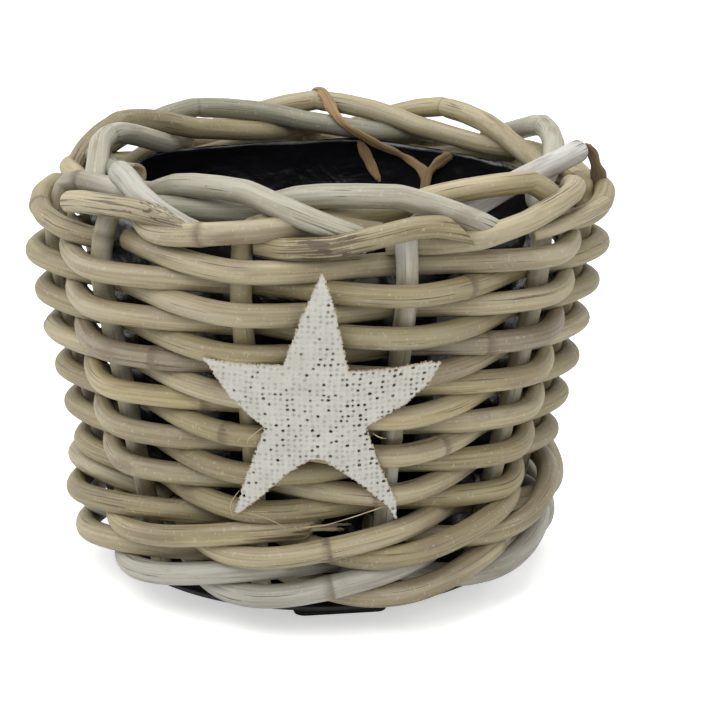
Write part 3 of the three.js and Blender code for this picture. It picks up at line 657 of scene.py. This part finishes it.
def liner_film():
    """Up the outside, over the top edge and down the inside. Each ring follows the wall and is drawn in by two waves
    round the axis, broad folds and small puckers, that grow upward; a slow wave lowers the top edge."""
    height = np.linspace(LINER_BOTTOM + LINER_CORNER, LINER_TOP, 60)
    bend = np.linspace(0, np.pi / 2, 8)[:-1]
    corner = wall_radius(LINER_BOTTOM + LINER_CORNER) + LINER_OUT - LINER_CORNER
    outer = np.concatenate([
        [(AXIS_HOLE, LINER_BOTTOM), (corner * 0.6, LINER_BOTTOM)],
        np.stack([corner + LINER_CORNER * np.sin(bend), LINER_BOTTOM + LINER_CORNER * (1 - np.cos(bend))], axis=1),
        np.stack([wall_radius(height) + LINER_OUT, height], axis=1)])
    inner = outer[::-1] + (-FILM, 0)
    inner[:, 1] = np.maximum(inner[:, 1], LINER_BOTTOM + FILM)
    inner[-1, 0] = AXIS_HOLE
    profile = np.concatenate([outer, inner])
    along = np.linspace(0, STAKE_COUNT, LINER_SIDES, endpoint=False)
    turn = stake_angle(along)
    radius, level = profile[:, :1], profile[:, 1:]
    rise = np.clip((level - LINER_BOTTOM) / (LINER_TOP - LINER_BOTTOM), 0, 1)
    fold = 0.5 + 0.5 * np.sin(FOLDS * turn + 1.4 * np.sin(4 * turn + 1) + 2.5 * rise)
    pucker = 0.5 + 0.5 * np.sin(PUCKERS * turn + 2.2 * np.sin(5 * turn) - 4 * rise)
    drawn = rise * (FOLD_DEPTH * fold ** 2 + PUCKER_DEPTH * pucker * rise)
    dip = EDGE_DIP * np.abs(np.sin(3 * turn + 0.6)) * np.clip((rise - 0.9) * 10, 0, 1)
    ring = radius + wall_radius(level, along) - wall_radius(level) - drawn
    return np.stack([ring * np.sin(turn), -ring * np.cos(turn), level - dip], axis=-1)


film = liner_film()
add_piece("film_liner", film, ring_faces(*film.shape[:2]), black_film, ["liner"])

# Raffia ties. Strips of dry palm fibre that lace the liner to the border at the back: one comes over the rim
# and slants down inside, the others end on the film.
TIE_WIDTH = 3.9
TIE_CLEARANCE = 1.2
FOLD_ROOM = 1.0  # for the folds of the film
TIE_ON_LINER = LINER_OUT - FOLD_ROOM / np.cos(WALL_LEAN) - TIE_CLEARANCE
TIE_ROUTES = [  # stakes from the first, out of the ring, above the rim line
    [(8.0, 6, 0), (7.98, 5.8, 2.6), (7.95, 2.6, 4.4), (7.92, -2, 4), (7.88, -6, 1.6), (7.84, -11, -1.2),
     (7.78, -16, -4), (7.71, -18.6, -6.6), (7.62, -18.9, -9.4), (7.48, -18.9, -12.7), (7.39, -18.6, -15.1),
     (7.27, -17.2, -17), (7.17, TIE_ON_LINER, -20.1), (7.05, TIE_ON_LINER, -23.2), (6.98, TIE_ON_LINER, -26),
     (6.99, TIE_ON_LINER, -38)],
    [(7.6, TIE_ON_LINER, -14), (7.49, TIE_ON_LINER, -24.2), (7.4, TIE_ON_LINER, -31)],
    [(6.74, TIE_ON_LINER, -16), (6.89, TIE_ON_LINER, -21.1), (6.96, TIE_ON_LINER - 0.6, -25),
     (6.97, TIE_ON_LINER - 0.6, -38)]]

# Dry palm fibre: tan and papery, with darker and paler strands along it.
dry_raffia = mottled("dry_raffia", (0.5, 0.5, 14), "#544229", "#b3966a", 0.7, 0.0004, grained=True, Roughness=0.75)
for index, route in enumerate(TIE_ROUTES):
    along, out, up = np.array(route).T
    torn_strip(f"raffia_strip_{index + 1}", smooth_path(wall_point(along, out, rim_height(along) + up)), TIE_WIDTH,
               500 + index, dry_raffia, [f"raffia_tie_{index + 1:02d}"])

# Star. A star cut from open burlap, painted off-white on the front and glued to the weave; the paint has closed
# most of the gaps between the threads and left pin-holes.
STAR_ALONG = 2.49
STAR_MIDDLE = 90.0
STAR_CLEARANCE = 0.3
STAR_OUT = swing(WEAVER_DIAMETER) + WEAVER_DIAMETER / 2 + STAR_CLEARANCE
STAR_OUTLINE = np.array([  # millimetres from its middle, round from the top point
    (-1.0, 51.6), (0.2, 51.6), (4.4, 38.3), (9.0, 16.2), (22.7, 16.4), (35.6, 18.0), (40.8, 17.3), (41.0, 16.2),
    (36.9, 8.8), (28.5, 1.6), (15.5, -6.4), (20.0, -20.4), (26.7, -36.6), (27.2, -44.6), (26.0, -44.6), (23.4, -39.6),
    (13.6, -29.4), (0.6, -19.2), (-3.9, -19.2), (-11, -24.9), (-19.6, -34.3), (-26.6, -41.4), (-29.2, -43.4),
    (-30.2, -42.2), (-26.3, -27.8), (-19.5, -6.8), (-24.2, -3), (-31.6, 4.1), (-39.2, 15.9), (-41.8, 18.2),
    (-41.2, 19.2), (-36.5, 18.3), (-24.1, 18.1), (-13.3, 18.2), (-7.5, 36.3)])
THREAD_PITCH = 2.0
THREAD_COUNT = 64  # more than cross the star either way
CLOTH_STEP = 0.3
CLOTH_THICKNESS = 0.6
CLOTH_LIFT = 0.35  # off the weave, for the cloth's own thickness
FIBRE_WIDTH = 0.32
FIBRE_LIFT = 0.4


def painted_burlap():
    """Jute burlap under chalky paint: off-white on the threads in patches of 6 mm, fuzz drawn as coarse as 0.5 mm,
    painted shade in grey in the dents between threads, bare brown jute at the edge."""
    material, shader = new_material("painted_burlap", Roughness=0.92)
    place = add_node(material, "ShaderNodeTexCoord").outputs["Object"]
    chalk, fuzz = [
        add_node(material, "ShaderNodeTexNoise", {
            "Vector": place, "Scale": 1000 / cell, "Detail": detail}).outputs["Fac"]
        for cell, detail in ((6, 4.0), (0.5, 3.0))]
    colour = add_node(material, "ShaderNodeMix", {
        0: chalk, 6: linear("#aeaca3"), 7: linear("#cac8c0")}, data_type="RGBA").outputs[2]
    # dent is painted shade, grey in the gaps between threads; bare is the jute's own colour at the edge
    for key, tint in (("dent", "#817e74"), ("bare", "#937450")):
        share = add_node(material, "ShaderNodeAttribute", attribute_name=key).outputs["Fac"]
        colour = add_node(material, "ShaderNodeMix", {
            0: share, 6: colour, 7: linear(tint)}, data_type="RGBA").outputs[2]
    bump = add_node(material, "ShaderNodeBump", {"Height": fuzz, "Strength": 0.5, "Distance": 0.0003})
    material.node_tree.links.new(colour, shader.inputs["Base Color"])
    material.node_tree.links.new(bump.outputs["Normal"], shader.inputs["Normal"])
    return material


def star_edge(x, y):
    """Distance to the nearest side of the outline, in millimetres, less than nought outside: a point is inside where
    a line from it to the right crosses an odd number of sides."""
    start, stop = STAR_OUTLINE, np.roll(STAR_OUTLINE, -1, axis=0)
    side = stop - start
    px, py = x[..., None] - start[:, 0], y[..., None] - start[:, 1]
    share = np.clip((px * side[:, 0] + py * side[:, 1]) / (side ** 2).sum(axis=1), 0, 1)
    near = np.hypot(px - share * side[:, 0], py - share * side[:, 1]).min(axis=-1)
    crosses = (start[:, 1] > y[..., None]) != (stop[:, 1] > y[..., None])
    beyond = px < py * side[:, 0] / np.where(side[:, 1] == 0, 1e-9, side[:, 1])
    return np.where((crosses & beyond).sum(axis=-1) % 2 == 1, near, -near)


def on_weave(x, y, out):
    """A point of the star's own plane laid on the wall, with a distance out from the rows of the weave."""
    up = STAR_MIDDLE + y * np.cos(WALL_LEAN)
    return wall_point(STAR_ALONG + x / (wall_radius(up) + STAR_OUT) / STAKE_TURN, STAR_OUT + out, up)


# A fine grid over the whole star. Warp and weft count the threads along x and y, each a little wavy; the round of
# each thread and its turns over and under the others raise the cloth. A gap between threads is a pin-hole where
# chance left it open, more so to the lower right. Faces over pin-holes and past the frayed edge are left out.
draw = np.random.default_rng(600)
x, y = np.meshgrid(np.arange(-44, 45, CLOTH_STEP), np.arange(-47, 56, CLOTH_STEP), indexing="ij")
warp = (x + 0.5 * np.sin(y / 11 + 1) + 0.25 * np.sin(y / 4.3)) / THREAD_PITCH
weft = (y + 0.5 * np.sin(x / 13 + 2) + 0.25 * np.sin(x / 5.1)) / THREAD_PITCH
over = np.cos(np.pi * np.round(warp)) * np.cos(np.pi * np.round(weft))
round_warp, round_weft = np.cos(np.pi * (warp - np.round(warp))), np.cos(np.pi * (weft - np.round(weft)))
relief = 0.2 * np.maximum(round_warp, round_weft) + 0.12 * over * (round_warp ** 2 - round_weft ** 2)
cell = np.floor(warp).astype(int) % THREAD_COUNT, np.floor(weft).astype(int) % THREAD_COUNT
pin = draw.uniform(-1.1, 0.44, (THREAD_COUNT, THREAD_COUNT))[cell] + 0.16 * np.clip((x - y / 2) / 30, -1, 1)
stray = draw.uniform(-0.17, 0.17, (2, THREAD_COUNT, THREAD_COUNT))
gap = 1 - np.hypot(warp - np.floor(warp) - 0.5 - stray[0][cell], weft - np.floor(weft) - 0.5 - stray[1][cell]) * 2
hole = gap > 1 - np.clip(pin, 0, 0.42)
fray = draw.normal(0, 0.25, x.shape)
edge = star_edge(x, y)
inside = (edge > fray * (edge < 0.8)) & ~hole
cloth = on_weave(x, y, CLOTH_LIFT + relief)
number = np.arange(x.size).reshape(x.shape)
quads = np.stack([number[:-1, :-1], number[1:, :-1], number[1:, 1:], number[:-1, 1:]], axis=-1)
kept = quads[inside[:-1, :-1] & inside[1:, :-1] & inside[1:, 1:] & inside[:-1, 1:]]
used, faces = np.unique(kept, return_inverse=True)
# painted shade: grey in the gaps between threads, deeper where a gap comes near to being a pin-hole
dent = np.clip(gap * 1.7 - 0.3, 0, 1) * np.clip(0.7 + 0.7 * pin, 0.1, 0.9)
bare = np.clip(1.1 - edge / 0.8 + fray, 0, 1) * 0.75
star = add_piece("burlap_star", cloth.reshape(-1, 3)[used], faces.reshape(-1, 4).tolist(), painted_burlap(),
                 ["star_patch"], {"bare": bare.ravel()[used], "dent": dent.ravel()[used]})
LOOSE_FIBRES = [  # fibres that have come out of the edge: millimetres from the middle, and out from the cloth
    [(-19, -6, 0), (-22, -8.5, 1.2), (-24.5, -11, 1.6), (-25, -13.5, 0.8)],
    [(-28, -33, 0), (-30.6, -37, 1.2), (-31, -41, 1.4), (-30, -44, 0.6)],
    [(-26, -42, 0), (-19, -42.6, 1), (-14.5, -44.4, 1.6), (-11.5, -46.6, 1)],
    [(22, -39, 0), (12, -41.4, 1.6), (2, -44.6, 2), (-6, -46, 1.4)],
    [(17.5, -8.8, 0), (19.6, -10.4, 1), (22, -10.8, 1)]]
# Dry jute: a plain pale brown on fibres this thin.
dry_jute = new_material("jute_fibre", Roughness=0.8, Base_Color=linear("#a99878"))[0]
for index, fibre in enumerate(LOOSE_FIBRES):
    line = on_weave(*(np.array(fibre) + (0, 0, FIBRE_LIFT)).T)
    torn_strip(f"jute_fibre_{index + 1}", smooth_path(line, 1.2), FIBRE_WIDTH, 620 + index, dry_jute,
               ["star_patch"])
thick = star.modifiers.new("thickness", "SOLIDIFY")
thick.thickness = CLOTH_THICKNESS / 1000
thick.offset = -1

# Studio. A pale paper floor that keeps the shadow of the planter, a white surround that the camera sees as plain
# white, and soft lamps above, in front and at both sides.
SURROUND_LIGHT = 0.52
FLOOR_GLOW = 0.5
LAMPS = [  # name, place and width in metres, power in watts
    ("key", (-0.45, -0.75, 1.1), 0.8, 7.8), ("top", (0.1, 0.1, 1.3), 0.9, 7.5),
    ("fill", (0.9, -0.7, 0.7), 0.9, 4.0), ("left", (-1.1, 0.2, 0.6), 0.9, 5.0)]
LAMP_TARGET = (0, 0, 0.09)


def standing(right, above, behind, place):
    """The matrix of a thing that stands at a place, from its three own directions."""
    axes = np.eye(4)
    axes[:3] = np.stack([right, above, behind, place], axis=1)
    return Matrix(axes.tolist())


scene = bpy.context.scene
scene.view_settings.view_transform = "Standard"
world = bpy.data.worlds.new("studio")
scene.world = world
world.use_nodes = True
surround = world.node_tree.nodes["Background"]
rays = add_node(world, "ShaderNodeLightPath").outputs
seen = rays["Is Camera Ray"]
for ray in ("Is Glossy Ray", "Is Transmission Ray"):
    seen = add_node(world, "ShaderNodeMath", {0: seen, 1: rays[ray]}, operation="MAXIMUM").outputs[0]
strength = add_node(world, "ShaderNodeMapRange", {"Value": seen, "To Min": SURROUND_LIGHT, "To Max": 1.0})
world.node_tree.links.new(strength.outputs["Result"], surround.inputs["Strength"])
surround.inputs["Color"].default_value = (1, 1, 1, 1)

# Matt white paper: it shows soft shadows, and glows to the camera alone so that it ends in the white surround.
white_paper, shader = new_material("white_paper", Roughness=0.9, Base_Color=linear("#f2f2f0"))
rays = add_node(white_paper, "ShaderNodeLightPath").outputs
glow = add_node(white_paper, "ShaderNodeMath", {0: rays["Is Camera Ray"], 1: FLOOR_GLOW}, operation="MULTIPLY")
shader.inputs["Emission Color"].default_value = (1, 1, 1, 1)
white_paper.node_tree.links.new(glow.outputs[0], shader.inputs["Emission Strength"])
floor_mesh = bpy.data.meshes.new("floor")
floor_mesh.from_pydata([(-6, -6, 0), (6, -6, 0), (6, 6, 0), (-6, 6, 0)], [], [(0, 1, 2, 3)])
floor_mesh.materials.append(white_paper)
floor = bpy.data.objects.new("floor", floor_mesh)
scene.collection.objects.link(floor)

for name, place, size, power in LAMPS:
    lamp = bpy.data.lights.new(name, "AREA")
    lamp.size = size
    lamp.energy = power
    away = np.subtract(place, LAMP_TARGET) / np.linalg.norm(np.subtract(place, LAMP_TARGET))
    across = np.cross((0, 1, 0), away)
    across /= np.linalg.norm(across)
    stand = bpy.data.objects.new(name, lamp)
    stand.matrix_world = standing(across, np.cross(away, across), away, place)
    scene.collection.objects.link(stand)

# Camera. A long lens in front of the planter and above it, turned a little to the right and tilted;
# its place was fitted to the stakes and the rim.
CAMERA_DISTANCE = 820.3
CAMERA_HEIGHT = 341.0
CAMERA_PITCH = np.radians(17.70)
CAMERA_YAW = np.radians(1.19)
CAMERA_ROLL = np.radians(0.89)
SENSOR_WIDTH = 36.0
FOCAL_LENGTH = 113.3

lens = bpy.data.cameras.new("camera")
lens.sensor_width = SENSOR_WIDTH
lens.lens = FOCAL_LENGTH
camera = bpy.data.objects.new("camera", lens)
ahead = np.array([np.sin(CAMERA_YAW) * np.cos(CAMERA_PITCH), np.cos(CAMERA_YAW) * np.cos(CAMERA_PITCH),
                  -np.sin(CAMERA_PITCH)])
right = np.array([np.cos(CAMERA_YAW), -np.sin(CAMERA_YAW), 0])
above = np.cross(right, ahead)
camera.matrix_world = standing(np.cos(CAMERA_ROLL) * right + np.sin(CAMERA_ROLL) * above,
                               np.cos(CAMERA_ROLL) * above - np.sin(CAMERA_ROLL) * right, -ahead,
                               np.array([0, -CAMERA_DISTANCE, CAMERA_HEIGHT]) / 1000)
scene.collection.objects.link(camera)
scene.camera = camera
